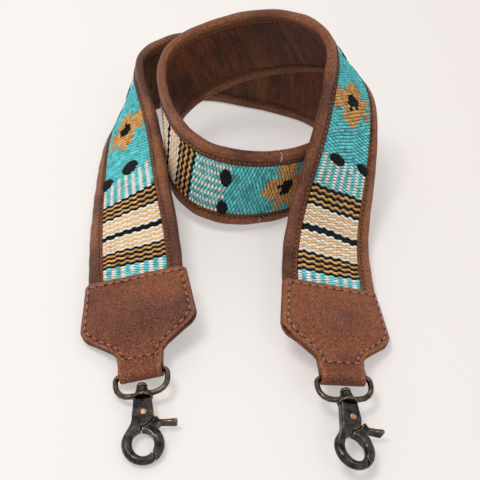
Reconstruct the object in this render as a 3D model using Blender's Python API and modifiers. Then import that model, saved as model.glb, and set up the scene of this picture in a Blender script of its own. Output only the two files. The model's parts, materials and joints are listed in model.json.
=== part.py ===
"""Detachable bag strap, laid out in a loose coil on a flat surface.

A woven panel is sewn to a leather lining over a webbing core, and leather bindings wrap both edges.
Each end is sandwiched in a folded leather tab. The tab's fold holds the bar of a swivel ring, and a
trigger hook turns in the ring's collar. Lengths are in metres and Z is up.
"""

import math

import bmesh
import bpy
import numpy as np
from mathutils import Matrix, Vector

# Layers of the strap
strap_width = 0.054
binding_leather = 0.0009
binding_cover = 0.0076
binding_corner = 0.0011
lining_edge = 0.0005
lining_full = 0.0015
core_sheet = 0.0006
weave_edge = 0.0009
weave_full = 0.0019
weave_shoulder = 0.0008
layer_gap = 0.0003
merge_distance = 0.00001

# Where the coil lies, seen from above
coil_size = 0.100

# Leather tabs
tab_leather = 0.0016
left_tab_mouth = 0.0580
left_tab_width = 0.0644
right_tab_mouth = 0.0550
right_tab_width = 0.0612
tab_neck_width = 0.0232
tab_sleeve = 0.0305
tab_shoulder = 0.0205
tab_neck = 0.0123
strap_in_tab = 0.026
neck_taper = 0.010
fold_clearance = 0.0009

# Swivel ring
ring_wire_radius = 0.0015
ring_inner_width = 0.0247
ring_drop = 0.0132
ring_top_bend = 0.0030
ring_bottom_bend = 0.0075
collar_above = 0.0038
collar_below = 0.0027
collar_top_radius = 0.0028
collar_base_radius = 0.0053
swivel_clearance = 0.00015

# Trigger hook, measured from the gate's pivot
pivot_drop = 0.0249
post_radius = 0.0015
head_radius = 0.0030
head_height = 0.0027
plate_width = 0.0104
hook_thickness = 0.0050
hook_edge = 0.0009
eye_width = 0.0114
eye_height = 0.0144
eye_drop = 0.0170
eye_side = 0.0011
jaw_side = 0.0048
jaw_foot = 0.0037
slot_height = 0.0028
slot_half = 0.0049
seam_gap = 0.0003
nose_gap = 0.00036

# Gate, rivet and spring
hub_radius = 0.0046
lever_length = 0.0086
lever_width = 0.0017
rivet_radius = 0.0012
rivet_head_radius = 0.00175
rivet_head_height = 0.0007
rivet_clearance = 0.00015
spring_wire_radius = 0.0002
spring_radius = 0.0024
spring_turns = 2.0
spring_leg = 0.0012

# Where the arcs of the hook, gate, slot and spring start and end
jaw_outer_start = math.radians(140)
jaw_outer_end = math.radians(298)
jaw_inner_start = math.radians(315)
jaw_inner_end = math.radians(98)
gate_outer_start = math.radians(48)
gate_outer_end = math.radians(-59)
gate_inner_start = math.radians(-41)
gate_inner_end = math.radians(93)
slot_start = math.radians(90)
slot_end = math.radians(240)
hub_lead = math.radians(50)
hub_lag = math.radians(10)
spring_start = math.radians(200)
fold_outer_angle = math.radians(38)
fold_inner_angle = math.radians(30)

# How each end lies
left_tab_twist = math.radians(0.0)
left_ring_skew = math.radians(0.0)
left_ring_dip = math.radians(1.4)
left_hook_roll = math.radians(13.0)
right_tab_twist = math.radians(-9.0)
right_ring_skew = math.radians(3.5)
right_ring_dip = math.radians(4.5)
right_hook_roll = math.radians(15.0)

# Fineness of the curves
route_samples = 1200
turn_limit = math.radians(9.0)
step_limit = 0.020
wire_sides = 10
turned_sides = 20
ellipse_step = math.radians(15.0)
bend_steps = 4
fold_steps = 13
turn_steps = 12

# Guides of the strap's middle line from the left tab's mouth to the right tab's mouth. Each has its
# place from above in coil sizes, the lift of the lower edge in strap widths, and the lean of the
# woven side from flat in degrees.
route_shares = [
    (-0.581, -0.465, 0.10, 11.5),
    (-0.595, -0.337, 0.12, 11.5),
    (-0.625, -0.09, 0.06, 16),
    (-0.67, 0.22, 0.00, 33),
    (-0.70, 0.63, 0.00, 41),
    (-0.76, 1.09, 0.02, 70),
    (-0.63, 1.32, 0.00, 89),
    (-0.34, 1.51, 0.00, 90),
    (0.01, 1.39, 0.00, 90),
    (0.36, 1.27, 0.00, 90),
    (0.64, 1.05, 0.00, 90),
    (0.66, 0.65, 0.00, 90),
    (0.51, 0.32, 0.00, 98),
    (0.22, 0.12, 0.03, 94),
    (-0.20, 0.07, 0.14, 85),
    (-0.43, 0.36, 0.21, 83),
    (-0.48, 0.80, 0.31, 98),
    (-0.38, 1.06, 0.43, 95),
    (-0.04, 1.16, 0.63, 79),
    (0.31, 1.05, 0.90, 71),
    (0.65, 0.78, 1.11, 55),
    (0.67, 0.49, 0.80, 54),
    (0.59, 0.16, 0.29, 49),
    (0.50, -0.12, 0.00, 32),
    (0.491, -0.39, 0.02, 16),
    (0.497, -0.53, 0.03, 15.5),
]

# Half outline of a tab's shoulder: share of the way out from the neck to the full width, and share
# of the way down the shoulder towards the neck.
shoulder_shares = [
    (1.00, 0.00),
    (0.96, 0.14),
    (0.84, 0.30),
    (0.60, 0.50),
    (0.36, 0.68),
    (0.17, 0.84),
    (0.05, 1.00),
]

# Left side of the hook's plate from its top to the jaw, in plate widths from the pivot
waist_shares = [
    (-0.45, 0.80),
    (-0.51, 0.35),
    (-0.56, 0.00),
    (-0.59, -0.33),
    (-0.65, -0.56),
    (-0.75, -0.75),
]

# Lower edge of the hook's plate, from its right side to its tip, in plate widths from the pivot
cheek_shares = [
    (0.48, 0.38),
    (0.50, 0.00),
    (0.46, -0.24),
    (0.34, -0.50),
    (0.12, -0.67),
    (-0.14, -0.78),
]

# The gate's edge next to it, in plate widths from the pivot
gate_edge_shares = [
    (-0.115, -0.81),
    (0.145, -0.71),
    (0.375, -0.53),
    (0.50, -0.30),
    (0.60, -0.235),
    (0.66, -0.28),
    (0.75, -0.46),
]

# The nose of the fixed jaw where the gate meets it, in eye heights below the eye's middle and in
# eye widths beside it
nose_shares = (0.48, -0.56)

# Dome of the hook's swivel head, from its crown down, in head radii and head heights
head_shares = [(0.0, 0.0), (0.50, 0.10), (0.87, 0.40), (1.0, 0.75), (0.92, 1.0)]

# Dome of a rivet's head, from its crown down, in head radii and head heights
rivet_shares = [(0.0, 0.0), (0.55, 0.12), (0.90, 0.50), (1.0, 1.0)]

# Tip of the gate's lever: way back from its end and down from its upper edge, in lever widths
lever_shares = [(0.25, 0.15), (0.0, 0.40), (0.0, 0.95), (0.25, 1.15)]
lever_root_share = 0.35

MATERIALS = {
    "tab_leather": ((0.150, 0.055, 0.030), 0.55, 0.0),
    "binding_leather": ((0.120, 0.045, 0.026), 0.55, 0.0),
    "lining_leather": ((0.100, 0.042, 0.024), 0.50, 0.0),
    "webbing": ((0.060, 0.045, 0.035), 0.90, 0.0),
    "woven_wool": ((0.080, 0.330, 0.350), 0.95, 0.0),
    "aged_metal": ((0.060, 0.052, 0.042), 0.38, 0.9),
    "worn_rivet": ((0.420, 0.270, 0.150), 0.35, 0.9),
    "spring_steel": ((0.350, 0.350, 0.350), 0.35, 1.0),
}

# Sizes that follow from the ones above
weave_stack = weave_edge + core_sheet + lining_edge
strap_thickness = weave_stack + 2 * layer_gap + 2 * (binding_leather + layer_gap)
half_width = strap_width / 2
half_thickness = strap_thickness / 2
stack_top = half_thickness - binding_leather - layer_gap
stack_half = half_width - binding_leather - layer_gap
window_half = half_width - binding_cover - layer_gap
tab_inside = half_thickness + layer_gap
fold_inside = ring_wire_radius + fold_clearance
fold_outside = fold_inside + tab_leather
tab_length = fold_outside + tab_neck + tab_shoulder + tab_sleeve
mouth_reach = tab_length - fold_outside
plate_top = pivot_drop - ring_drop - collar_below - layer_gap
head_base = pivot_drop - ring_drop + collar_above + layer_gap


def clear_scene():
    """Remove every object that the scene holds."""
    for item in list(bpy.data.objects):
        bpy.data.objects.remove(item, do_unlink=True)


def new_collection(name):
    """Return an empty collection linked to the scene."""
    old = bpy.data.collections.get(name)
    if old:
        bpy.data.collections.remove(old)
    group = bpy.data.collections.new(name)
    bpy.context.scene.collection.children.link(group)
    return group


def material(name):
    """Return a Principled material from the table."""
    colour, roughness, metallic = MATERIALS[name]
    item = bpy.data.materials.get(name) or bpy.data.materials.new(name)
    item.use_nodes = True
    shader = item.node_tree.nodes["Principled BSDF"]
    shader.inputs["Base Color"].default_value = (*colour, 1.0)
    shader.inputs["Roughness"].default_value = roughness
    shader.inputs["Metallic"].default_value = metallic
    item.diffuse_color = (*colour, 1.0)
    return item


def part_object(name, mesh, material_name, group):
    """Wrap a mesh in a named object with its material."""
    item = bpy.data.objects.new(name, mesh)
    mesh.materials.clear()
    mesh.materials.append(material(material_name))
    group.objects.link(item)
    return item


def cutter_object(name, mesh, group):
    """Wrap a mesh in an object that only serves Booleans."""
    item = bpy.data.objects.new(name, mesh)
    item.hide_render = True
    item.display_type = "WIRE"
    group.objects.link(item)
    return item


def boolean(item, cutter, operation):
    """Add an exact Boolean that reads the cutter where it stands."""
    step = item.modifiers.new(cutter.name, "BOOLEAN")
    step.operation = operation
    step.object = cutter
    step.solver = "EXACT"


def smooth(item, angle=math.radians(35)):
    """Shade an object smooth except at its sharp edges."""
    item.data.shade_smooth()
    item.data.set_sharp_from_angle(angle=angle)


def evaluated_mesh(item):
    """Turn a temporary object into a welded mesh and remove the object."""
    bpy.context.view_layer.update()
    graph = bpy.context.evaluated_depsgraph_get()
    mesh = bpy.data.meshes.new_from_object(item.evaluated_get(graph))
    mesh.transform(item.matrix_world)
    work = bmesh.new()
    work.from_mesh(mesh)
    bmesh.ops.remove_doubles(work, verts=work.verts, dist=merge_distance)
    bmesh.ops.recalc_face_normals(work, faces=work.faces)
    work.to_mesh(mesh)
    work.free()
    bpy.data.objects.remove(item, do_unlink=True)
    return mesh


def outline_mesh(outline, thickness):
    """Extrude a flat closed outline in XY to a solid centred on Z = 0."""
    curve = bpy.data.curves.new("outline", "CURVE")
    curve.dimensions = "2D"
    curve.fill_mode = "BOTH"
    curve.extrude = thickness / 2
    spline = curve.splines.new("POLY")
    spline.points.add(len(outline) - 1)
    for point, (x, y) in zip(spline.points, outline):
        point.co = (x, y, 0, 1)
    spline.use_cyclic_u = True
    item = bpy.data.objects.new("outline", curve)
    bpy.context.scene.collection.objects.link(item)
    return evaluated_mesh(item)


def wire_mesh(points, radius, closed):
    """Sweep a round wire along a list of points."""
    curve = bpy.data.curves.new("wire", "CURVE")
    curve.dimensions = "3D"
    curve.bevel_depth = radius
    curve.bevel_resolution = (wire_sides - 4) // 2
    curve.use_fill_caps = not closed
    spline = curve.splines.new("POLY")
    spline.points.add(len(points) - 1)
    for point, place in zip(spline.points, points):
        point.co = (*place, 1)
    spline.use_cyclic_u = closed
    item = bpy.data.objects.new("wire", curve)
    bpy.context.scene.collection.objects.link(item)
    return evaluated_mesh(item)


def turned_mesh(profile):
    """Turn a profile of (radius, height) from top to bottom into a solid about Z."""
    mesh = bpy.data.meshes.new("profile")
    places = [(radius, 0, height) for radius, height in profile]
    edges = [(index, index + 1) for index in range(len(profile) - 1)]
    mesh.from_pydata(places, edges, [])
    item = bpy.data.objects.new("profile", mesh)
    bpy.context.scene.collection.objects.link(item)
    screw = item.modifiers.new("turn", "SCREW")
    screw.axis = "Z"
    screw.steps = turned_sides
    screw.render_steps = turned_sides
    screw.use_merge_vertices = True
    screw.merge_threshold = merge_distance
    return evaluated_mesh(item)


def along_y(mesh, place=0.0):
    """Turn a mesh built about Z so that its axis runs along Y, from the given height."""
    mesh.transform(Matrix.Translation((0, place, 0)) @ Matrix.Rotation(math.radians(-90), 4, "X"))
    return mesh


def ellipse(centre, size, start, end):
    """List points of an ellipse's arc between two angles."""
    count = max(2, int(round(abs(end - start) / ellipse_step)) + 1)
    points = []
    for angle in np.linspace(start, end, count):
        x = centre[0] + size[0] * math.cos(angle)
        y = centre[1] + size[1] * math.sin(angle)
        points.append((x, y))
    return points


def spline_weights(count, place):
    """Return the weights of a clamped cubic B-spline's guides at a place from 0 to 1."""
    knots = np.concatenate([np.zeros(3), np.linspace(0, 1, count - 2), np.ones(3)])
    place = min(max(place, 0.0), 1.0)
    span = min(int(place * (count - 3)), count - 4) + 3
    weights = np.zeros(len(knots) - 1)
    weights[span] = 1.0
    for degree in (1, 2, 3):
        new = np.zeros_like(weights)
        for index in range(len(knots) - 1 - degree):
            left = knots[index + degree] - knots[index]
            right = knots[index + degree + 1] - knots[index + 1]
            if left > 0:
                new[index] += (place - knots[index]) / left * weights[index]
            if right > 0:
                new[index] += (knots[index + degree + 1] - place) / right * weights[index + 1]
        weights = new
    return weights[:count]


def strap_frames():
    """Work out the strap's middle line and its axes from one tab's mouth to the other's."""
    guides = np.array(route_shares, dtype=float)
    weights = np.array([spline_weights(len(guides), t) for t in np.linspace(0, 1, route_samples)])
    plan = weights @ guides[:, :2] * coil_size
    lean = np.radians(weights @ guides[:, 3])
    lift = weights @ guides[:, 2] * strap_width
    height = lift + half_width * np.sin(lean) + half_thickness * np.abs(np.cos(lean))
    middle = np.column_stack([plan, height])
    along = np.gradient(middle, axis=0)
    along /= np.linalg.norm(along, axis=1, keepdims=True)
    level = np.cross(along, (0, 0, 1))
    level /= np.linalg.norm(level, axis=1, keepdims=True)
    upward = np.cross(level, along)
    across = np.cos(lean)[:, None] * level + np.sin(lean)[:, None] * upward
    outward = np.cross(across, along)
    steps = np.linalg.norm(np.diff(middle, axis=0), axis=1)
    travel = np.concatenate([[0], np.cumsum(steps)])
    return travel, middle, along, across, outward


def strap_stations(frames):
    """Pick the frames where the strap turns enough, with straight ends inside the tabs."""
    travel, middle, along, across, outward = frames
    picked = [0]
    for index in range(1, len(travel)):
        last = picked[-1]
        turn = math.acos(min(1.0, along[last] @ along[index]))
        twist = math.acos(min(1.0, across[last] @ across[index]))
        far = travel[index] - travel[last] > step_limit
        if far or turn + twist > turn_limit or index == len(travel) - 1:
            picked.append(index)
    stations = [(middle[0] - along[0] * strap_in_tab, across[0], outward[0])]
    for index in picked:
        stations.append((middle[index], across[index], outward[index]))
    stations.append((middle[-1] + along[-1] * strap_in_tab, across[-1], outward[-1]))
    return stations


def swept_mesh(name, profile, stations):
    """Loft a closed profile of (across, outward) through the stations.

    Every layer splits its faces along the same diagonal, so twisted layers stay evenly apart.
    """
    work = bmesh.new()
    rings = []
    for middle, across, outward in stations:
        ring = [work.verts.new(middle + across * a + outward * n) for a, n in profile]
        rings.append(ring)
    count = len(profile)
    for first, second in zip(rings, rings[1:]):
        for index in range(count):
            after = (index + 1) % count
            if profile[index][0] <= profile[after][0]:
                work.faces.new((first[index], first[after], second[after]))
                work.faces.new((first[index], second[after], second[index]))
            else:
                work.faces.new((first[index], first[after], second[index]))
                work.faces.new((first[after], second[after], second[index]))
    caps = [work.faces.new(reversed(rings[0])), work.faces.new(rings[-1])]
    bmesh.ops.triangulate(work, faces=caps)
    bmesh.ops.recalc_face_normals(work, faces=work.faces)
    mesh = bpy.data.meshes.new(name)
    work.to_mesh(mesh)
    work.free()
    return mesh


def binding_profile(side):
    """Section of a binding: a C of leather that wraps one edge of the strap."""
    edge = half_width
    reach = half_width - binding_cover
    top = half_thickness
    inside_edge = edge - binding_leather
    inside_top = top - binding_leather
    points = [
        (reach, top),
        (edge - binding_corner, top),
        (edge, top - binding_corner),
        (edge, -top + binding_corner),
        (edge - binding_corner, -top),
        (reach, -top),
        (reach, -inside_top),
        (inside_edge, -inside_top),
        (inside_edge, inside_top),
        (reach, inside_top),
    ]
    return [(side * across, outward) for across, outward in points]


def weave_profile():
    """Section of the woven panel: thin under the bindings and full between them."""
    foot = stack_top - weave_edge
    crown = foot + weave_full
    shoulder = window_half - weave_shoulder
    return [
        (-stack_half, foot),
        (-window_half, foot),
        (0, foot),
        (window_half, foot),
        (stack_half, foot),
        (stack_half, stack_top),
        (window_half, stack_top),
        (shoulder, crown),
        (0, crown),
        (-shoulder, crown),
        (-window_half, stack_top),
        (-stack_half, stack_top),
    ]


def core_profile():
    """Section of the webbing core."""
    top = stack_top - weave_edge - layer_gap
    foot = top - core_sheet
    places = [-stack_half, -window_half, 0, window_half, stack_half]
    return [(across, foot) for across in places] + [(across, top) for across in reversed(places)]


def lining_profile():
    """Section of the leather lining: thin under the bindings and full between them."""
    top = lining_edge - stack_top
    crown = top - lining_full
    shoulder = window_half - weave_shoulder
    return [
        (-stack_half, -stack_top),
        (-window_half, -stack_top),
        (-shoulder, crown),
        (0, crown),
        (shoulder, crown),
        (window_half, -stack_top),
        (stack_half, -stack_top),
        (stack_half, top),
        (window_half, top),
        (0, top),
        (-window_half, top),
        (-stack_half, top),
    ]


def add_strap(stations, group):
    """Build the five layers of the strap."""
    layers = [
        ("woven_panel", weave_profile(), "woven_wool"),
        ("webbing_core", core_profile(), "webbing"),
        ("lining_leather", lining_profile(), "lining_leather"),
        ("upper_binding", binding_profile(1), "binding_leather"),
        ("lower_binding", binding_profile(-1), "binding_leather"),
    ]
    for name, profile, material_name in layers:
        item = part_object(name, swept_mesh(name, profile, stations), material_name, group)
        smooth(item)


def tab_side_profile():
    """Side view of a folded tab as (along, outward), with the ring's bar at the origin."""
    sleeve_start = mouth_reach - tab_sleeve
    outer_flat = tab_inside + tab_leather
    neck_end = sleeve_start - neck_taper
    neck_inside = layer_gap / 2
    neck_outside = neck_inside + tab_leather
    neck_places = [neck_end, (neck_end * 2 + fold_outside) / 3, (neck_end + fold_outside * 2) / 3]
    outside = [(mouth_reach, outer_flat), (sleeve_start, outer_flat)]
    outside += [(along, neck_outside) for along in neck_places]
    for angle in np.linspace(fold_outer_angle, math.tau - fold_outer_angle, fold_steps):
        outside.append((fold_outside * math.cos(angle), fold_outside * math.sin(angle)))
    outside += [(along, -neck_outside) for along in reversed(neck_places)]
    outside += [(sleeve_start, -outer_flat), (mouth_reach, -outer_flat)]
    inside = [(mouth_reach, -tab_inside), (sleeve_start, -tab_inside)]
    inside += [(along, -neck_inside) for along in neck_places]
    inside.append((fold_outside, -neck_inside))
    for angle in np.linspace(math.tau - fold_inner_angle, fold_inner_angle, fold_steps):
        inside.append((fold_inside * math.cos(angle), fold_inside * math.sin(angle)))
    inside.append((fold_outside, neck_inside))
    inside += [(along, neck_inside) for along in reversed(neck_places)]
    inside += [(sleeve_start, tab_inside), (mouth_reach, tab_inside)]
    return outside + inside


def tab_outline(mouth, width):
    """Front view of a tab as (across, along), with the ring's bar on Y = 0."""
    shoulder_start = mouth_reach - tab_sleeve
    half = [(mouth / 2, mouth_reach + tab_leather), (mouth / 2, mouth_reach)]
    for out, down in shoulder_shares:
        across = tab_neck_width / 2 + out * (width - tab_neck_width) / 2
        half.append((across, shoulder_start - down * tab_shoulder))
    half.append((tab_neck_width / 2, 0.0))
    half.append((tab_neck_width / 2, -2 * fold_outside))
    return half + [(-across, along) for across, along in reversed(half)]


def tab_mesh(mouth, width, twist):
    """Cut the folded sheet to the tab's outline and twist its neck about the strap's line."""
    sheet = outline_mesh(tab_side_profile(), width + 2 * tab_leather)
    sheet.transform(Matrix(((0, 0, 1, 0), (1, 0, 0, 0), (0, 1, 0, 0), (0, 0, 0, 1))))
    outline = outline_mesh(tab_outline(mouth, width), 4 * (tab_inside + tab_leather))
    cutter = cutter_object("tab_outline", outline, bpy.context.scene.collection)
    blank = bpy.data.objects.new("tab_blank", sheet)
    bpy.context.scene.collection.objects.link(blank)
    boolean(blank, cutter, "INTERSECT")
    mesh = evaluated_mesh(blank)
    bpy.data.objects.remove(cutter, do_unlink=True)
    reach = mouth_reach - tab_sleeve
    for vertex in mesh.vertices:
        share = min(1.0, max(0.0, 1.0 - vertex.co.y / reach))
        turn = twist * share * share * (3 - 2 * share)
        vertex.co = Matrix.Rotation(turn, 3, "Y") @ vertex.co
    return mesh


def ring_path():
    """Middle line of the ring's wire: a bar through the tab, round sides and a lower bar."""
    half = ring_inner_width / 2 + ring_wire_radius
    corners = [
        (half - ring_top_bend, -ring_top_bend, ring_top_bend, 90),
        (-half + ring_top_bend, -ring_top_bend, ring_top_bend, 180),
        (-half + ring_bottom_bend, -ring_drop + ring_bottom_bend, ring_bottom_bend, 270),
        (half - ring_bottom_bend, -ring_drop + ring_bottom_bend, ring_bottom_bend, 360),
    ]
    path = []
    for x, y, radius, end in corners:
        start = end - 90
        for degrees in np.linspace(start, end, bend_steps + 1):
            angle = math.radians(degrees)
            path.append((x + radius * math.cos(angle), y + radius * math.sin(angle), 0))
    return path


def add_ring(side, group, cutters):
    """Build the swivel ring about its bar, with the collar's bore along Y."""
    ring = part_object(side + "_ring", wire_mesh(ring_path(), ring_wire_radius, True),
                       "aged_metal", group)
    rim = (collar_top_radius + collar_base_radius) / 2
    profile = [
        (0, collar_above),
        (collar_top_radius, collar_above),
        (rim, 0),
        (collar_base_radius, -collar_below / 2),
        (collar_base_radius, -collar_below),
        (0, -collar_below),
    ]
    collar = cutter_object(side + "_collar", along_y(turned_mesh(profile), -ring_drop), cutters)
    bore_radius = post_radius + swivel_clearance
    reach = collar_above + collar_below
    bore_profile = [(0, reach), (bore_radius, reach), (bore_radius, -reach), (0, -reach)]
    bore = cutter_object(side + "_collar_bore", along_y(turned_mesh(bore_profile), -ring_drop),
                         cutters)
    boolean(ring, collar, "UNION")
    boolean(ring, bore, "DIFFERENCE")
    return ring, [collar, bore]


def eye_arcs():
    """Centre and half sizes of the eye and of the hook's outer round."""
    centre = (-eye_side, -eye_drop)
    inner = (eye_width / 2, eye_height / 2)
    outer = (inner[0] + jaw_side, inner[1] + jaw_foot)
    return centre, inner, outer


def nose_point(extra=0.0):
    """The nose of the fixed jaw, moved aside by an extra."""
    centre = eye_arcs()[0]
    return (centre[0] + nose_shares[0] * eye_width + extra, centre[1] + nose_shares[1] * eye_height)


def hook_outline():
    """Outline of the hook's plate and fixed jaw, about the gate's pivot."""
    centre, inner, outer = eye_arcs()
    points = [(x * plate_width, y * plate_width) for x, y in waist_shares]
    points[0] = (points[0][0], plate_top)
    points += ellipse(centre, outer, jaw_outer_start, jaw_outer_end)
    points.append(nose_point())
    points += ellipse(centre, inner, jaw_inner_start, jaw_inner_end)
    points += [(x * plate_width, y * plate_width) for x, y in reversed(cheek_shares)]
    points.append((-points[0][0], plate_top))
    return points


def gate_outline():
    """Outline of the gate's full part: lever and moving jaw, about its pivot."""
    centre, inner, outer = eye_arcs()
    points = [(x * plate_width, y * plate_width) for x, y in gate_edge_shares]
    root_x, root_y = points[-1]
    lever_end = root_x + lever_length
    for back, down in lever_shares:
        points.append((lever_end - lever_width * back, root_y - lever_width * down))
    points.append((root_x + lever_width * lever_root_share, root_y - lever_width))
    points += ellipse(centre, outer, gate_outer_start, gate_outer_end)
    points.append(nose_point(nose_gap))
    points += ellipse(centre, inner, gate_inner_start, gate_inner_end)
    return points


def slab(outline, name):
    """A rounded slab of the hook's thickness."""
    mesh = outline_mesh(outline, hook_thickness)
    work = bmesh.new()
    work.from_mesh(mesh)
    bmesh.ops.dissolve_limit(work, angle_limit=math.radians(1), verts=work.verts, edges=work.edges)
    rims = [edge for edge in work.edges if abs(edge.verts[0].co.z - edge.verts[1].co.z) < merge_distance]
    bmesh.ops.bevel(work, geom=rims, offset=hook_edge, segments=2, profile=0.5, affect="EDGES",
                    clamp_overlap=True)
    work.to_mesh(mesh)
    work.free()
    mesh.name = name
    return mesh


def slot_outline():
    """Outline of the slot between the body's cheeks, open towards the gate."""
    tip_x, tip_y = cheek_shares[-1]
    foot = tip_y * plate_width - hook_edge
    points = [(plate_width, foot), (plate_width, slot_half)]
    points += ellipse((0, 0), (slot_half, slot_half), slot_start, slot_end)
    points.append((tip_x * plate_width - seam_gap, foot))
    return points


def add_hook(side, group, cutters):
    """Build the hook's body about the gate's pivot: plate, fixed jaw, post and head."""
    body = part_object(side + "_hook_body", slab(hook_outline(), "hook_body"), "aged_metal", group)
    post_foot = plate_top - post_radius
    dome = head_base + head_height
    profile = [(head_radius * out, dome - head_height * down) for out, down in head_shares]
    profile += [
        (post_radius, head_base),
        (post_radius, post_foot),
        (0, post_foot),
    ]
    post = cutter_object(side + "_post", along_y(turned_mesh(profile)), cutters)
    slot = cutter_object(side + "_slot", outline_mesh(slot_outline(), slot_height), cutters)
    bore_radius = rivet_radius + rivet_clearance
    depth = hook_thickness
    bore_profile = [(0, depth), (bore_radius, depth), (bore_radius, -depth), (0, -depth)]
    bore = cutter_object(side + "_rivet_bore", turned_mesh(bore_profile), cutters)
    boolean(body, post, "UNION")
    boolean(body, slot, "DIFFERENCE")
    boolean(body, bore, "DIFFERENCE")
    return body, [post, slot, bore]


def add_gate(side, group, cutters):
    """Build the gate about its pivot: lever, moving jaw and a thin hub in the body's slot."""
    gate = part_object(side + "_gate", slab(gate_outline(), "gate"), "aged_metal", group)
    edge = [(x * plate_width, y * plate_width) for x, y in gate_edge_shares]
    tongue = [edge[0], (edge[2][0], edge[2][1] - lever_width), (edge[4][0], edge[3][1] - hook_edge)]
    tongue += [edge[4]]
    start = math.atan2(edge[4][1], edge[4][0]) + hub_lead
    end = math.atan2(edge[0][1], edge[0][0]) + math.tau - hub_lag
    tongue += ellipse((0, 0), (hub_radius, hub_radius), start, end)
    hub_top = -layer_gap
    hub_foot = -slot_height / 2 + layer_gap
    mesh = outline_mesh(tongue, hub_top - hub_foot)
    mesh.transform(Matrix.Translation((0, 0, (hub_top + hub_foot) / 2)))
    hub = cutter_object(side + "_hub", mesh, cutters)
    bore_radius = rivet_radius + rivet_clearance
    depth = hook_thickness
    bore_profile = [(0, depth), (bore_radius, depth), (bore_radius, -depth), (0, -depth)]
    bore = cutter_object(side + "_hub_bore", turned_mesh(bore_profile), cutters)
    boolean(gate, hub, "UNION")
    boolean(gate, bore, "DIFFERENCE")
    return gate, [hub, bore]


def add_rivet(side, group):
    """Build the rivet: a shank with a domed head on each face of the hook."""
    face = hook_thickness / 2 + rivet_clearance
    crown = face + rivet_head_height
    upper = []
    for out, down in rivet_shares:
        upper.append((rivet_head_radius * out, crown - rivet_head_height * down))
    upper.append((rivet_radius, face))
    profile = upper + [(radius, -height) for radius, height in reversed(upper)]
    return part_object(side + "_rivet", turned_mesh(profile), "worn_rivet", group)


def add_spring(side, group):
    """Build the gate's torsion spring, coiled round the rivet above the hub."""
    pitch = 2 * spring_wire_radius + merge_distance
    top = slot_height / 2 - spring_wire_radius - layer_gap / 2
    steps = int(spring_turns * turn_steps)
    path = []
    for step in range(steps + 1):
        angle = math.tau * step / turn_steps + spring_start
        height = top - pitch * step / turn_steps
        path.append((spring_radius * math.cos(angle), spring_radius * math.sin(angle), height))
    start = Vector(path[0]) - (Vector(path[1]) - Vector(path[0])).normalized() * spring_leg
    end = Vector(path[-1]) + (Vector(path[-1]) - Vector(path[-2])).normalized() * spring_leg
    path = [tuple(start)] + path + [tuple(end)]
    mesh = wire_mesh(path, spring_wire_radius, False)
    return part_object(side + "_gate_spring", mesh, "spring_steel", group)


def empty(name, parent, matrix, group):
    """Add an empty at a place given in its parent's frame."""
    item = bpy.data.objects.new(name, None)
    item.empty_display_size = ring_inner_width
    group.objects.link(item)
    item.parent = parent
    item.matrix_local = matrix
    return item


def end_matrix(frames, right):
    """Frame of a tab with its origin on the ring's bar, X across and Y into the strap."""
    travel, middle, along, across, outward = frames
    index = -1 if right else 0
    inward = -along[-1] if right else along[0]
    side = -across[-1] if right else across[0]
    place = middle[index] - inward * mouth_reach
    matrix = Matrix.Identity(4)
    for row in range(3):
        matrix[row][0] = side[row]
        matrix[row][1] = inward[row]
        matrix[row][2] = outward[index][row]
        matrix[row][3] = place[row]
    return matrix


def add_end(side, matrix, sizes, angles, root, group, cutters):
    """Build one end: tab, ring, hook, gate, rivet and spring, each on its own pivot."""
    mouth, width = sizes
    twist, skew, dip, roll = angles
    tab_frame = empty(side + "_tab_frame", root, matrix, group)
    tab = part_object(side + "_tab", tab_mesh(mouth, width, twist), "tab_leather", group)
    bar = Matrix.Rotation(twist, 4, "Y") @ Matrix.Rotation(skew, 4, "Z")
    hinge = empty(side + "_ring_hinge", tab_frame, bar @ Matrix.Rotation(dip, 4, "X"), group)
    swivel = empty(side + "_swivel", hinge, Matrix.Rotation(roll, 4, "Y"), group)
    pivot = empty(side + "_gate_pivot", swivel, Matrix.Translation((0, -pivot_drop, 0)), group)
    ring, ring_cutters = add_ring(side, group, cutters)
    body, body_cutters = add_hook(side, group, cutters)
    gate, gate_cutters = add_gate(side, group, cutters)
    rivet = add_rivet(side, group)
    spring = add_spring(side, group)
    tab.parent = tab_frame
    for item in (ring, *ring_cutters):
        item.parent = hinge
    for item in (body, gate, rivet, spring, *body_cutters, *gate_cutters):
        item.parent = pivot
    for item in (tab, ring, body, gate, rivet, spring):
        smooth(item)


def centre_on_floor(root, group):
    """Move the whole strap so that its box is centred over the origin and stands on Z = 0."""
    bpy.context.view_layer.update()
    graph = bpy.context.evaluated_depsgraph_get()
    places = []
    for item in group.objects:
        if item.type == "MESH":
            solid = item.evaluated_get(graph)
            coordinates = np.empty(len(solid.data.vertices) * 3)
            solid.data.vertices.foreach_get("co", coordinates)
            matrix = np.array(solid.matrix_world)
            places.append(coordinates.reshape(-1, 3) @ matrix[:3, :3].T + matrix[:3, 3])
    places = np.vstack(places)
    low = places.min(axis=0)
    high = places.max(axis=0)
    root.location = (-(low[0] + high[0]) / 2, -(low[1] + high[1]) / 2, -low[2])
    bpy.context.view_layer.update()


def build():
    """Build the strap and its two ends."""
    clear_scene()
    group = new_collection("bag_strap")
    cutters = new_collection("cutters")
    root = bpy.data.objects.new("bag_strap_root", None)
    group.objects.link(root)
    frames = strap_frames()
    add_strap(strap_stations(frames), group)
    for item in list(group.objects):
        if item.type == "MESH":
            item.parent = root
    left_angles = (left_tab_twist, left_ring_skew, left_ring_dip, left_hook_roll)
    right_angles = (right_tab_twist, right_ring_skew, right_ring_dip, right_hook_roll)
    add_end("left", end_matrix(frames, False), (left_tab_mouth, left_tab_width), left_angles,
            root, group, cutters)
    add_end("right", end_matrix(frames, True), (right_tab_mouth, right_tab_width), right_angles,
            root, group, cutters)
    centre_on_floor(root, group)


build()
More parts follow.
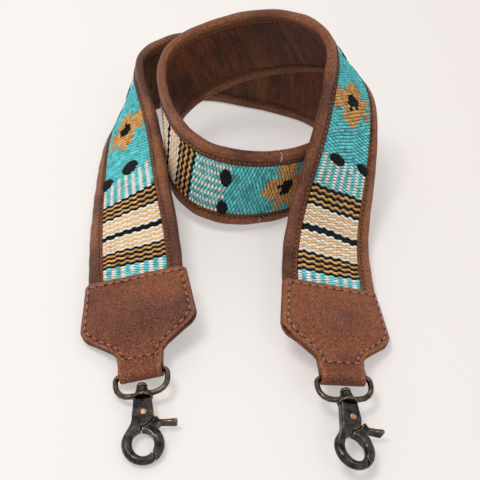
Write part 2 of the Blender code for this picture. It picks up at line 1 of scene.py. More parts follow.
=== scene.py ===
"""Detachable bag strap on a pale floor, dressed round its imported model.

The strap's line is worked out as in the model's source. The woven panel is made of its yarns' floats,
the bindings, lining and tabs are leather with sewn seams, and the metal pieces are rounded copies of
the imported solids. Lengths are in metres and Z is up.
"""

import json
import math

import bmesh
import bpy
import numpy as np
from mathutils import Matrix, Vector


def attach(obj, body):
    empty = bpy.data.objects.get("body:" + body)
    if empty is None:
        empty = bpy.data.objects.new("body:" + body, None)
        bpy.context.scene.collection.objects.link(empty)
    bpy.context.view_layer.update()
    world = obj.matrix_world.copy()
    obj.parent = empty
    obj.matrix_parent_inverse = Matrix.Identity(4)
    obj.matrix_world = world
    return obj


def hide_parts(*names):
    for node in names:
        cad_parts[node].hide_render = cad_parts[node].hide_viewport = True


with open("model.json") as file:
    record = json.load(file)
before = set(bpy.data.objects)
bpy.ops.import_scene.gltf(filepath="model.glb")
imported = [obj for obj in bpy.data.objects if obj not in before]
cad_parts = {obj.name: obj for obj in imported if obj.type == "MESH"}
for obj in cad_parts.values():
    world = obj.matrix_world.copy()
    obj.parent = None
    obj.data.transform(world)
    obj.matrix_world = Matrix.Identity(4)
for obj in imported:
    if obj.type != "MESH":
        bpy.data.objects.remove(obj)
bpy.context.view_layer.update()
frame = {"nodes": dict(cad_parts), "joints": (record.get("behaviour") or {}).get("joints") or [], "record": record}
rng = np.random.default_rng(7)

# Layers of the strap, as in the model
strap_width = 0.054
half_width = strap_width / 2
half_thickness = 0.0025
binding_leather = 0.0009
binding_cover = 0.0076
stack_top = half_thickness - 0.0012
window_half = half_width - binding_cover
core_half_width = half_width - binding_leather - 0.0003
coil_size = 0.100
coil_place = np.array([0.0035497, 0.0101475, 0.0006149])
strap_in_tab = 0.026

# Leather tabs, as in the model
tab_leather = 0.0016
tab_neck_width = 0.0232
tab_sleeve = 0.0305
tab_shoulder = 0.0205
tab_neck = 0.0123
neck_taper = 0.010
fold_radius = 0.0024 + tab_leather / 2
fold_outside = 0.0024 + tab_leather
mouth_reach = tab_neck + tab_shoulder + tab_sleeve
sleeve_start = mouth_reach - tab_sleeve
tab_middle = half_thickness + 0.0003 + tab_leather / 2
neck_middle = 0.00015 + tab_leather / 2
tab_sizes = {"left": (0.0580, 0.0644, 0.0), "right": (0.0550, 0.0612, math.radians(-9.0))}
shoulder_shares = [(1.00, 0.00), (0.96, 0.14), (0.84, 0.30), (0.60, 0.50), (0.36, 0.68), (0.17, 0.84),
                   (0.05, 1.00)]

# Weave
column_width = 0.00272
columns = 16
row_count = 466
striped_rows = 8
bead_height = 0.00105
bead_base = stack_top + 0.00030
repeat_rows = 85.0
first_line_row = 21.0

# Seams
binding_pitch = 0.0030
tab_pitch = 0.0047
thread_radius = 0.00030
tab_seam = 0.0030
neck_seam = 0.0050
binding_seam = 0.0014
stitch_half_step = 0.0005
tab_stitch_half_step = 0.0007
binding_seam_depth = 0.00045
tab_seam_depth = 0.00028
tab_puff = 0.00020

# Rounded forms
binding_edge_radius = 0.0021
tab_edge_radius = 0.0006
jaw_reach = 0.0125
jaw_half_height = 0.0025
jaw_core_height = 0.0016
jaw_allowance = 0.0010
jaw_swell = 0.0003
lever_swell = 0.00035
cast_voxel = 0.00016
ring_voxel = 0.00018
ring_swell = 0.00008

# Stage: colours, camera and lamps as (name, place, width, power, colour)
floor_size = 4.0
floor_glow = 0.42
floor_shade = 0.935
world_strength = 0.52
camera_elevation = math.radians(43.1)
camera_distance = 0.6085
camera_lens = 75.795
lamp_target = Vector((0, 0.02, 0.03))
lamps = [
    ("key", (-0.40, -0.10, 1.35), 0.50, 9.3, (1.0, 0.985, 0.965)),
    ("fill", (0.55, -0.75, 0.95), 0.45, 1.6, (1.0, 0.98, 0.96)),
    ("back", (-0.10, 0.95, 0.95), 0.45, 2.0, (1.0, 0.99, 0.98)),
]

# Guides of the strap's middle line: place from above in coil sizes, lift in strap widths, lean in degrees
route_shares = [
    (-0.581, -0.465, 0.10, 11.5), (-0.595, -0.337, 0.12, 11.5), (-0.625, -0.09, 0.06, 16),
    (-0.67, 0.22, 0.00, 33), (-0.70, 0.63, 0.00, 41), (-0.76, 1.09, 0.02, 70),
    (-0.63, 1.32, 0.00, 89), (-0.34, 1.51, 0.00, 90), (0.01, 1.39, 0.00, 90),
    (0.36, 1.27, 0.00, 90), (0.64, 1.05, 0.00, 90), (0.66, 0.65, 0.00, 90),
    (0.51, 0.32, 0.00, 98), (0.22, 0.12, 0.03, 94), (-0.20, 0.07, 0.14, 85),
    (-0.43, 0.36, 0.21, 83), (-0.48, 0.80, 0.31, 98), (-0.38, 1.06, 0.43, 95),
    (-0.04, 1.16, 0.63, 79), (0.31, 1.05, 0.90, 71), (0.65, 0.78, 1.11, 55),
    (0.67, 0.49, 0.80, 54), (0.59, 0.16, 0.29, 49), (0.50, -0.12, 0.00, 32),
    (0.491, -0.39, 0.02, 16), (0.497, -0.53, 0.03, 15.5),
]

# Where rows of the pattern lie along the strap: (metres from the left tab's mouth, row)
row_places = [
    (-0.004, -2.2), (0.0375, 21.0), (0.084, 45.0), (0.125, 63.5), (0.155, 81.0), (0.4206, 233.5),
    (0.4575, 251.0), (0.477, 260.5), (0.4903, 267.5), (0.5055, 276.0), (0.6875, 385.0), (0.7163, 403.5),
    (0.7530, 421.0), (0.798, 446.0), (0.8405, 468.3),
]


def linear(red, green, blue):
    """Turn an 8-bit screen colour into a linear one."""
    shares = [value / 255 for value in (red, green, blue)]
    return tuple(s / 12.92 if s <= 0.04045 else ((s + 0.055) / 1.055) ** 2.4 for s in shares)


# Satin lozenges: place along the strap and across it, how far their far end runs ahead, and fullness
lozenge_places = [
    (0.0900, 0.0022, -0.02, 1.60), (0.0868, -0.0172, -0.02, 1.60), (0.1574, 0.0035, 0.20, 1.0),
    (0.1509, -0.0125, 0.20, 1.0), (0.2400, 0.0060, 0.15, 1.0), (0.2400, -0.0145, 0.15, 1.0),
    (0.3030, 0.0060, 0.15, 1.0), (0.3030, -0.0145, 0.15, 1.0), (0.3890, 0.0060, 0.15, 1.0),
    (0.3890, -0.0145, 0.15, 1.0), (0.4578, 0.0080, 0.12, 1.0), (0.4571, -0.0145, 0.12, 1.0),
    (0.5460, 0.0060, 0.00, 1.0), (0.5460, -0.0145, 0.00, 1.0), (0.6060, 0.0060, -0.10, 1.0),
    (0.6060, -0.0145, -0.10, 1.0), (0.6867, 0.0060, -0.20, 1.0), (0.6880, -0.0160, -0.20, 1.0),
    (0.7530, 0.0062, -0.10, 0.95), (0.7530, -0.0160, -0.20, 0.95),
]

yarns = {
    "teal": linear(106, 216, 222),
    "white": linear(255, 250, 238),
    "tan": linear(252, 202, 144),
    "gold": linear(232, 176, 108),
    "black": linear(13, 12, 13),
}


# The strap's line

def spline_weights(count, place):
    """Return the weights of a clamped cubic B-spline's guides at a place from 0 to 1."""
    knots = np.concatenate([np.zeros(3), np.linspace(0, 1, count - 2), np.ones(3)])
    place = min(max(place, 0.0), 1.0)
    span = min(int(place * (count - 3)), count - 4) + 3
    weights = np.zeros(len(knots) - 1)
    weights[span] = 1.0
    for degree in (1, 2, 3):
        new = np.zeros_like(weights)
        for index in range(len(knots) - 1 - degree):
            left = knots[index + degree] - knots[index]
            right = knots[index + degree + 1] - knots[index + 1]
            if left > 0:
                new[index] += (place - knots[index]) / left * weights[index]
            if right > 0:
                new[index] += (knots[index + degree + 1] - place) / right * weights[index + 1]
        weights = new
    return weights[:count]


def strap_frames():
    """Work out the strap's middle line and axes, with straight ends that reach into the tabs."""
    guides = np.array(route_shares, dtype=float)
    weights = np.array([spline_weights(len(guides), t) for t in np.linspace(0, 1, 1200)])
    plan = weights @ guides[:, :2] * coil_size
    lean = np.radians(weights @ guides[:, 3])
    lift = weights @ guides[:, 2] * strap_width
    height = lift + half_width * np.sin(lean) + half_thickness * np.abs(np.cos(lean))
    middle = np.column_stack([plan, height])
    along = np.gradient(middle, axis=0)
    along /= np.linalg.norm(along, axis=1, keepdims=True)
    level = np.cross(along, (0, 0, 1))
    level /= np.linalg.norm(level, axis=1, keepdims=True)
    upward = np.cross(level, along)
    across = np.cos(lean)[:, None] * level + np.sin(lean)[:, None] * upward
    outward = np.cross(across, along)
    middle = middle + coil_place
    travel = np.concatenate([[0], np.cumsum(np.linalg.norm(np.diff(middle, axis=0), axis=1))])
    start = middle[0] - along[0] * strap_in_tab
    end = middle[-1] + along[-1] * strap_in_tab
    middle = np.vstack([start, middle, end])
    across = np.vstack([across[:1], across, across[-1:]])
    outward = np.vstack([outward[:1], outward, outward[-1:]])
    along = np.vstack([along[:1], along, along[-1:]])
    travel = np.concatenate([[-strap_in_tab], travel, [travel[-1] + strap_in_tab]])
    return travel, middle, along, across, outward


travel, middle_line, along_axes, across_axes, outward_axes = strap_frames()
strap_length = travel[-2]


def read(table, s):
    """Read a table of vectors at places along the strap."""
    return np.stack([np.interp(s, travel, table[:, axis]) for axis in range(3)], axis=-1)


def strap_points(s, u, n):
    """Turn (along, across, outward) places on the strap into points."""
    s, u, n = np.broadcast_arrays(s, u, n)
    return read(middle_line, s) + read(across_axes, s) * u[..., None] + read(outward_axes, s) * n[..., None]


def strap_places(step):
    """Return places along the whole strap, with its ends inside the tabs."""
    return np.arange(-strap_in_tab, strap_length + strap_in_tab, step)


# Meshes

def smoothstep(value):
    """Ease a share from 0 to 1."""
    value = np.clip(value, 0.0, 1.0)
    return value * value * (3 - 2 * value)


def wave_noise(x, y, seed, size):
    """Smooth noise from a few crossed waves, about -1 to 1."""
    turn = np.random.default_rng(seed)
    total = np.zeros(np.broadcast(x, y).shape)
    for _ in range(7):
        angle = turn.uniform(0, math.tau)
        rate = math.tau / (size * turn.uniform(0.6, 1.7))
        wave = (x * math.cos(angle) + y * math.sin(angle)) * rate
        total = total + np.sin(wave + turn.uniform(0, math.tau))
    return total / 3.2


def make_mesh(name, points, faces, smooth=True):
    """Make a mesh object from points and a list of face arrays, each of one width."""
    mesh = bpy.data.meshes.new(name)
    mesh.vertices.add(len(points))
    mesh.vertices.foreach_set("co", np.asarray(points, np.float32).ravel())
    loops = np.concatenate([np.asarray(part).ravel() for part in faces]).astype(np.int32)
    widths = np.concatenate([np.full(len(part), np.asarray(part).shape[1]) for part in faces])
    starts = np.concatenate([[0], np.cumsum(widths)[:-1]]).astype(np.int32)
    mesh.loops.add(len(loops))
    mesh.loops.foreach_set("vertex_index", loops)
    mesh.polygons.add(len(widths))
    mesh.polygons.foreach_set("loop_start", starts)
    mesh.update(calc_edges=True)
    if smooth:
        mesh.shade_smooth()
    item = bpy.data.objects.new(name, mesh)
    bpy.context.scene.collection.objects.link(item)
    return item


def loft(name, grid):
    """Make a closed body from rings of points: each row of the grid is one closed ring."""
    count, width = grid.shape[:2]
    index = np.arange(count * width).reshape(count, width)
    after = np.roll(index, -1, axis=1)
    sides = np.stack([index[:-1], after[:-1], after[1:], index[1:]], axis=-1).reshape(-1, 4)
    caps = [index[0][::-1][None, :], index[-1][None, :]]
    return make_mesh(name, grid.reshape(-1, 3), [sides, *caps])


def add_values(item, name, values, domain="POINT"):
    """Store a number for each point of a mesh."""
    layer = item.data.attributes.new(name, "FLOAT", domain)
    layer.data.foreach_set("value", np.asarray(values, np.float32).ravel())


def add_colours(item, name, colours, domain="FACE"):
    """Store a colour for each face of a mesh."""
    layer = item.data.attributes.new(name, "FLOAT_COLOR", domain)
    full = np.concatenate([colours, np.ones((len(colours), 1))], axis=1)
    layer.data.foreach_set("color", full.astype(np.float32).ravel())


def face_outward(item):
    """Make a mesh's faces point outwards."""
    work = bmesh.new()
    work.from_mesh(item.data)
    bmesh.ops.recalc_face_normals(work, faces=work.faces)
    work.to_mesh(item.data)
    work.free()


def read_points(mesh):
    """Return a mesh's points."""
    points = np.empty(len(mesh.vertices) * 3)
    mesh.vertices.foreach_get("co", points)
    return points.reshape(-1, 3)


def read_normals(mesh):
    """Return the normals at a mesh's points."""
    return np.array([normal.vector[:] for normal in mesh.vertex_normals])


def move_points(mesh, points):
    """Give a mesh's points new places."""
    mesh.vertices.foreach_set("co", points.ravel())
    mesh.update()


def finish_piece(item, body, slot, surface, *nodes):
    """Give a piece its material and body, and hide the nodes that it stands for; the slot is not used."""
    item.data.materials.clear()
    item.data.materials.append(surface)
    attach(item, body)
    if nodes:
        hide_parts(*nodes)


def build_slab(name, section, step, slot, surface, *nodes):
    """Run a closed section of (across, outward) places along the strap."""
    s = strap_places(step)
    item = loft(name, np.stack([strap_points(s, u, n) for u, n in section], axis=1))
    face_outward(item)
    finish_piece(item, "strap", slot, surface, *nodes)


# Materials

class Nodes:
    """Short names for building the nodes of a material or a world."""

    def __init__(self, name, group=None):
        self.owner = (bpy.data.materials if group is None else group).new(name)
        self.owner.use_nodes = True
        self.tree = self.owner.node_tree
        self.shader = self.tree.nodes.get("Principled BSDF")
        self.place = self.add("ShaderNodeTexCoord").outputs["Object"]

    def put(self, socket, value):
        """Link a socket, or set its value or colour."""
        if isinstance(value, bpy.types.NodeSocket):
            self.tree.links.new(value, socket)
        elif isinstance(value, tuple):
            socket.default_value = (*value, 1)
        else:
            socket.default_value = value

    def add(self, kind, inputs=None, **settings):
        """Add a node, with its settings and its inputs' values or links."""
        node = self.tree.nodes.new(kind)
        for key, value in settings.items():
            setattr(node, key, value)
        for key, value in (inputs or {}).items():
            self.put(node.inputs[key], value)
        return node

    def noise(self, scale, detail=3.0, roughness=0.5, vector=None):
        """Add a noise texture and return its value."""
        inputs = {"Vector": vector or self.place, "Scale": scale, "Detail": detail, "Roughness": roughness}
        return self.add("ShaderNodeTexNoise", inputs).outputs["Fac"]

    def ramp(self, value, *stops):
        """Add a colour ramp from (position, grey or colour) stops."""
        node = self.add("ShaderNodeValToRGB", {"Fac": value})
        elements = node.color_ramp.elements
        while len(elements) < len(stops):
            elements.new(0.5)
        for element, (position, colour) in zip(elements, stops):
            element.position = position
            element.color = (*colour, 1) if isinstance(colour, tuple) else (colour, colour, colour, 1)
        return node.outputs["Color"]

    def mix(self, share, first, second, mode="MIX"):
        """Mix two colours."""
        return self.add("ShaderNodeMix", {0: share, 6: first, 7: second}, data_type="RGBA",
                        blend_type=mode).outputs[2]

    def shade(self, colour, value, *stops, share=1.0):
        """Darken a colour by a ramp."""
        return self.mix(share, colour, self.ramp(value, *stops), "MULTIPLY")

    def maths(self, operation, first, second=0.5):
        """Add a math node."""
        return self.add("ShaderNodeMath", {0: first, 1: second}, operation=operation).outputs[0]

    def attribute(self, name, output="Fac"):
        """Read a value that the mesh carries."""
        return self.add("ShaderNodeAttribute", attribute_name=name).outputs[output]

    def bump(self, value, strength, distance, normal=None):
        """Add a bump."""
        inputs = {"Height": value, "Strength": strength, "Distance": distance}
        if normal:
            inputs["Normal"] = normal
        return self.add("ShaderNodeBump", inputs).outputs[0]

    def seen(self):
        """Return 1 for rays from the camera, a reflection or glass, and 0 for the others."""
        path = self.add("ShaderNodeLightPath").outputs
        share = self.maths("MAXIMUM", path["Is Camera Ray"], path["Is Glossy Ray"])
        return self.maths("MAXIMUM", share, path["Is Transmission Ray"])

    def join(self, **sockets):
        """Set or link the shader's sockets."""
        for key, value in sockets.items():
            self.put(self.shader.inputs[key.replace("_", " ").title().replace("Ior", "IOR")], value)
        return self.owner


def leather(name, light, dark, rim, raw, shine, streaks=False):
    """Oiled leather: mottled colour, pebbled grain, paler cut edges and rims of painted highlight and shade."""
    nodes = Nodes(name)
    light, dark, rim, raw = [linear(*tone) for tone in (light, dark, rim, raw)]
    patches = nodes.noise(30.0)
    colour = nodes.mix(nodes.ramp(patches, (0.34, 0.0), (0.56, 1.0)), dark, light)
    # The "rim" layer mixes in the rim colour. On the tabs it is a paler painted highlight along the rolled rims.
    # On the bindings it is painted shade in the seam channels, a darker line along the fold's outer side, darker
    # leather near the tabs and dark butt joints. "raw" marks the paler cut edges and "field" a darker patch on the
    # tabs.
    for layer, tone in (("rim", rim), ("raw", raw), ("field", linear(104, 60, 56))):
        colour = nodes.mix(nodes.attribute(layer), colour, tone)
    wobble = nodes.add("ShaderNodeTexNoise", {"Vector": nodes.place, "Scale": 420.0}).outputs["Color"]
    warped = nodes.add("ShaderNodeMix", {0: 0.0006, 4: nodes.place, 5: wobble}, data_type="VECTOR").outputs[1]
    pebbles = nodes.add("ShaderNodeTexVoronoi", {"Vector": warped, "Scale": 1350.0},
                        feature="F1").outputs["Distance"]
    worms = nodes.add("ShaderNodeTexNoise", {"Vector": nodes.place, "Scale": 820.0, "Detail": 1.0,
                                             "Distortion": 1.2}).outputs["Fac"]
    fine = nodes.noise(2300.0, 3.0, 0.6)
    colour = nodes.shade(colour, worms, (0.41, 0.58), (0.59, 1.0))
    colour = nodes.shade(colour, pebbles, (0.10, 1.0), (0.70, 0.62))
    colour = nodes.shade(colour, fine, (0.30, 0.72), (0.66, 1.0))
    grain = nodes.bump(nodes.maths("SUBTRACT", 1.0, pebbles), 1.0, 0.00060)
    grain = nodes.bump(fine, 0.6, 0.00020, grain)
    grain = nodes.bump(worms, 1.0, 0.00100, grain)
    if streaks:
        cross = nodes.maths("MULTIPLY", nodes.attribute("across"), 0.13)
        place = nodes.add("ShaderNodeCombineXYZ", {"X": nodes.attribute("along"), "Y": cross}).outputs[0]
        creases = nodes.noise(430.0, 5.0, 0.62, place)
        # Painted shade: the lining is darkened in the low parts of the crease bump.
        colour = nodes.shade(colour, creases, (0.38, 0.40), (0.62, 1.0))
        broad = nodes.noise(70.0, vector=place)
        colour = nodes.mix(nodes.ramp(broad, (0.48, 0.0), (0.75, 0.4)), colour, rim)
        grain = nodes.bump(creases, 0.9, 0.0013, grain)
    rough = nodes.ramp(patches, (0.30, shine - 0.05), (0.70, shine + 0.12))
    return nodes.join(base_color=colour, roughness=rough, normal=grain, specular_ior_level=0.30)


def weave_surface():
    """Wool yarn: float colours and painted crevice shade from the mesh, with plies and fibres as bumps."""
    nodes = Nodes("wool_yarn")
    fibres = nodes.noise(1700.0, 4.0, 0.7)
    colour = nodes.shade(nodes.attribute("yarn", "Color"), fibres, (0.28, 0.78), (0.62, 1.0), share=0.6)
    # Painted shade in the crevices: darker where the "crown" value falls at the floats' sides and tips, weaker
    # where "depth" is low.
    colour = nodes.shade(colour, nodes.attribute("crown"), (0.0, (0.13, 0.11, 0.10)),
                         (0.34, (0.74, 0.68, 0.62)), (0.70, 1.0), share=nodes.attribute("depth"))
    twist = nodes.maths("SINE", nodes.maths("MULTIPLY", nodes.attribute("ply"), 14.0))
    fuzz = nodes.bump(fibres, 0.6, 0.00022, nodes.bump(twist, 0.45, 0.00010))
    return nodes.join(base_color=colour, roughness=0.9, normal=fuzz, sheen_weight=0.06,
                      sheen_roughness=0.5, specular_ior_level=0.12)


def thread_surface(name, light, dark):
    """Waxed sewing thread."""
    nodes = Nodes(name)
    colour = nodes.mix(nodes.noise(500.0), linear(*dark), linear(*light))
    fibres = nodes.bump(nodes.noise(5200.0, 2.0), 0.5, 0.00008)
    return nodes.join(base_color=colour, roughness=0.62, normal=fibres)


def metal_surface(name, dark, bright, worn):
    """Aged plating: cloudy between dark and bright, rubbed bright where the mesh is sharp."""
    nodes = Nodes(name)
    cloud = nodes.noise(230.0, 5.0, 0.6)
    colour = nodes.mix(nodes.ramp(cloud, (0.35, 0.0), (0.70, 1.0)), linear(*dark), linear(*bright))
    patchy = nodes.ramp(nodes.noise(520.0, 4.0), (0.38, 0.16), (0.62, 1.0))
    rub = nodes.maths("MULTIPLY", nodes.attribute("wear"), patchy)
    colour = nodes.mix(rub, colour, linear(*worn))
    pits = nodes.bump(nodes.noise(1500.0, 3.0, 0.6), 0.35, 0.00014)
    rough = nodes.ramp(cloud, (0.25, 0.17), (0.75, 0.32))
    return nodes.join(base_color=colour, roughness=rough, metallic=0.9, normal=pits)


# Rim colours: the tabs' paler one is a painted highlight, the bindings' dark one is painted shade and darker tone,
# and the lining's one tints its broad streaks.
tab_surface = leather("tab_hide", (196, 116, 76), (144, 79, 62), (214, 134, 96), (164, 100, 68), 0.38)
binding_surface = leather("binding_hide", (208, 128, 82), (146, 82, 56), (76, 40, 37), (222, 126, 68), 0.30)
lining_surface = leather("lining_hide", (178, 98, 58), (92, 50, 32), (206, 126, 72), (150, 96, 66), 0.46,
                         streaks=True)
wool_surface = weave_surface()
# Painted shade: dark thread-shaped pieces sunk between the stitches, where their holes are.
hole_shade_surface = thread_surface("painted_hole_shade", (34, 20, 16), (18, 11, 9))
brown_thread = thread_surface("brown_thread", (190, 140, 114), (124, 82, 64))
dark_thread = thread_surface("dark_thread", (158, 108, 86), (96, 60, 46))
pale_thread = thread_surface("pale_thread", (232, 198, 168), (176, 130, 100))
bronze_surface = metal_surface("aged_bronze", (24, 24, 26), (80, 78, 76), (154, 126, 94))
copper_surface = metal_surface("rubbed_copper", (160, 120, 92), (214, 176, 140), (232, 200, 160))
spring_surface = metal_surface("spring_wire", (120, 120, 120), (160, 160, 160), (190, 190, 190))


# Woven panel

def rows_from_line(row):
    """Count the rows between a place in the pattern and the nearest single black line."""
    return abs((row - first_line_row + repeat_rows / 2) % repeat_rows - repeat_rows / 2)


def pattern_colour(row, column):
    """Name the yarn of the float in a row and a column, counted from the first edge."""
    from_line = rows_from_line(row)
    from_flower = repeat_rows / 2 - from_line
    side = abs(column - (columns - 1) / 2)
    if from_line < 1:
        return "black"
    if from_line < striped_rows:
        return "white" if int(from_line - 1) % 2 == 0 else "tan"
    if from_line < 15:
        return "black" if int(from_line - striped_rows) % 2 == 0 else "gold"
    last_band = row > row_places[-2][1] + 5
    edge = 24.6 + (1.6 if column in (1, 2) else 0.0) - (1.0 if column in (5, 6, 7, 12) else 0.0)
    if from_line < edge:
        pale = column % 2 == (1 if last_band else 0)
        return "white" if pale else "teal"
    if (from_flower < 1.6 and side < 2) or (from_flower < 2.6 and column == 7):
        return "black"
    if from_flower < 3.6:
        notch = side > 5 and from_flower < 1.1 and column > columns / 2
        corner = from_flower > 2.4 and (side > 6 or 2.8 < side < 3.8)
        return "teal" if notch or corner or side > 7 else "gold"
    if from_flower < 5.6 and side < 3:
        return "gold"
    if from_flower < 6.6 and side < 2:
        return "gold"
    if from_flower < 7.6 and 0 < column - (columns - 1) / 2 < 1:
        return "gold"
    return "teal"


def float_form():
    """Return a float's points (across, along, crown, painted crevice shade), quads, triangles and underside."""
    tip = 0.34
    stops = np.array([-(0.5 + tip), -0.5, -(0.5 - tip), -0.14, 0.0, 0.14, 0.5 - tip, 0.5, 0.5 + tip])
    reach = np.where(np.abs(stops) <= 0.5 - tip + 1e-9, 0.5, 0.5 * (0.5 + tip - np.abs(stops)) / (2 * tip))
    sides = [-1.0, -0.62, 0.0, 0.62, 1.0]
    form = []
    for stop, half in zip(stops, reach):
        pointed = half <= 1e-6
        rise = 1 - min(1.0, abs(stop) / (0.5 + tip)) ** 2.2
        for side in [0.0] if pointed else sides:
            bow = math.sqrt(max(0.0, 1 - side * side))
            # The last value sets the painted crevice shade: 1 on the float's crest, falling towards its sides and
            # to 0.34 at its tips.
            form.append((stop, side * half, rise * bow, 0.34 if pointed else bow))
    width = len(sides)
    last = len(form) - 1
    lines = np.arange(1, last).reshape(-1, width)
    quads = [(a[j], b[j], b[j + 1], a[j + 1]) for a, b in zip(lines, lines[1:]) for j in range(width - 1)]
    tris = []
    for j in range(width - 1):
        tris += [(0, lines[0][j], lines[0][j + 1]), (last, lines[-1][j + 1], lines[-1][j])]
    rim = [0, *lines[:, -1], last, *lines[::-1, 0]]
    return np.array(form).T, np.array(quads), np.array(tris), np.array([rim])


def build_panel():
    """Make the woven panel: one closed lens of yarn for each float, over a slab of ground cloth."""
    (low_u, low_v, crown, crevice_shading), *form_faces = float_form()
    rows = np.repeat(np.arange(row_count), columns)[:, None]
    column = np.tile(np.arange(columns), row_count)[:, None]
    count = len(rows)
    colours = np.array([yarns[pattern_colour(row + 0.5, place)]
                        for row, place in zip(rows[:, 0], column[:, 0])])
    pale = rows_from_line(rows[:, 0] + 0.5) < striped_rows
    centre_u = ((columns - 1) / 2 - column) * column_width
    centre_row = rows + 0.5 + np.where(column % 2, 0.5, 0.0) - 0.25
    jitter = rng.normal(0, 1, (count, 4))
    swell = 1 + 0.05 * jitter[:, :1]
    u = centre_u + low_u * column_width * 1.03 + jitter[:, 1:2] * 0.00006
    tilt = 0.08 * jitter[:, 2:3]
    rows_at = centre_row + low_v * np.where(pale, 1.10, 0.99)[:, None] + low_u * tilt
    s = np.interp(rows_at, [row for _, row in row_places], [place for place, _ in row_places])
    s = s + 0.0005 * wave_noise(centre_u, s, 3, 0.030)
    fade = 1 - smoothstep((np.abs(u) - (window_half - 0.0016)) / 0.0012)
    n = bead_base + crown * bead_height * swell * (0.25 + 0.75 * fade) - 0.0004 * (1 - fade)
    offset = (np.arange(count) * len(low_u))[:, None, None]
    faces = [(part[None] + offset).reshape(-1, part.shape[1]) for part in form_faces]
    panel = make_mesh("woven_floats", strap_points(s, u, n).reshape(-1, 3), faces)
    shade = 1 + np.where(pale, 0.05, 0.17)[:, None] * jitter[:, 3:4]
    colours = np.clip(colours * shade, 0, 1)
    # How strongly the yarn material paints crevice shade: weaker on the pale striped rows.
    depth = np.where(pale, 0.45, 1.0)
    add_colours(panel, "yarn", np.concatenate([np.repeat(colours, len(part), 0) for part in form_faces]))
    add_values(panel, "depth", np.concatenate([np.repeat(depth, len(part)) for part in form_faces]), "FACE")
    add_values(panel, "ply", np.tile(low_u * 3.2 + low_v * 2.2, count))
    # Where the yarn material paints crevice shade, stored as the "crown" layer.
    add_values(panel, "crown", np.tile(crevice_shading, count))
    finish_piece(panel, "strap", "woven_wool", wool_surface, "woven_panel")

    edge = core_half_width
    top = stack_top + 0.0006
    foot = stack_top - 0.0009
    step = stack_top - 0.0001
    section = [(-edge, foot), (0, foot), (edge, foot), (edge, step), (window_half - 0.0002, step),
               (window_half - 0.0012, top), (0, top), (-window_half + 0.0012, top),
               (-window_half + 0.0002, step), (-edge, step)]
    build_slab("ground_cloth", section, 0.0025, "woven_wool", ground_surface())


def ground_surface():
    """Dark cotton that shows in the crevices between the floats."""
    nodes = Nodes("ground_cotton")
    threads = nodes.noise(900.0, 3.0, 0.6)
    colour = nodes.mix(threads, linear(40, 52, 52), linear(86, 92, 86))
    return nodes.join(base_color=colour, roughness=0.95, normal=nodes.bump(threads, 0.5, 0.0002))


def build_lozenges():
    """Make the black satin lozenges that mark each end of a striped band."""
    angles = np.linspace(0, math.tau, 40, endpoint=False)
    rings = np.array([1.0, 0.97, 0.86, 0.66, 0.40, 0.15])
    heights = np.array([0.0, 0.42, 0.74, 0.92, 1.0, 1.02])
    half_long, half_short, rise, lift = 0.0067, 0.0034, 0.00080, 0.00060
    limit = window_half - 0.0003
    points, faces, satin, count = [], [], [], 0
    x = np.cos(angles)
    y = np.sin(angles) * (1 - x * x) ** 0.25
    number = len(angles)
    for place, middle_u, slant, full in lozenge_places:
        size = 0.92 if middle_u < 0 else 1.0
        for ring, height in [(1.0, None), *zip(rings, heights)]:
            ragged = 1 + 0.05 * rng.normal(0, 1, number) * (height is not None and ring > 0.9)
            u = np.clip(middle_u + x * ring * half_long * size * ragged, -limit, limit)
            s = place + y * ring * half_short * full * size * ragged + slant * x * ring * half_long
            n = bead_base if height is None else bead_base + lift + height * rise
            points.append(strap_points(s, u, n))
            satin.append(x * ring * 9.0)
        for k in range(len(rings)):
            a = count + k * number + np.arange(number)
            b = np.roll(a, -1)
            faces.append(np.stack([a, b, b + number, a + number], axis=1))
        faces.append((count + len(rings) * number + np.arange(number))[None, :])
        faces.append((count + np.arange(number))[::-1][None, :])
        count += (len(rings) + 1) * number
    item = make_mesh("satin_lozenges", np.concatenate(points), faces)
    face_outward(item)
    nodes = Nodes("black_satin")
    add_values(item, "ply", np.concatenate(satin))
    rows = nodes.maths("SINE", nodes.maths("MULTIPLY", nodes.attribute("ply"), math.tau))
    lines = nodes.noise(1400.0, 3.0, 0.6)
    colour = nodes.mix(lines, linear(9, 8, 9), linear(30, 28, 29))
    relief = nodes.bump(rows, 0.7, 0.0002, nodes.bump(lines, 0.6, 0.0002))
    surface = nodes.join(base_color=colour, roughness=0.8, normal=relief, specular_ior_level=0.15)
    finish_piece(item, "strap", "woven_wool", surface)


# Leather along the strap

def seam_dip(distance, width=0.0008):
    """Depth share of the channel that a seam pulls into leather."""
    return np.exp(-(distance / width) ** 2)


def lip_width(s, side):
    """Width of the cut edge that shows beside the panel."""
    middle = smoothstep((s - 0.19) / 0.08) * (1 - smoothstep((s - 0.60) / 0.06))
    if side < 0:
        return 0.00070 + 0.0002 * middle + 0.0001 * np.sin(s * 190)
    return 0.00055 + 0.0006 * middle + 0.0001 * np.sin(s * 150)


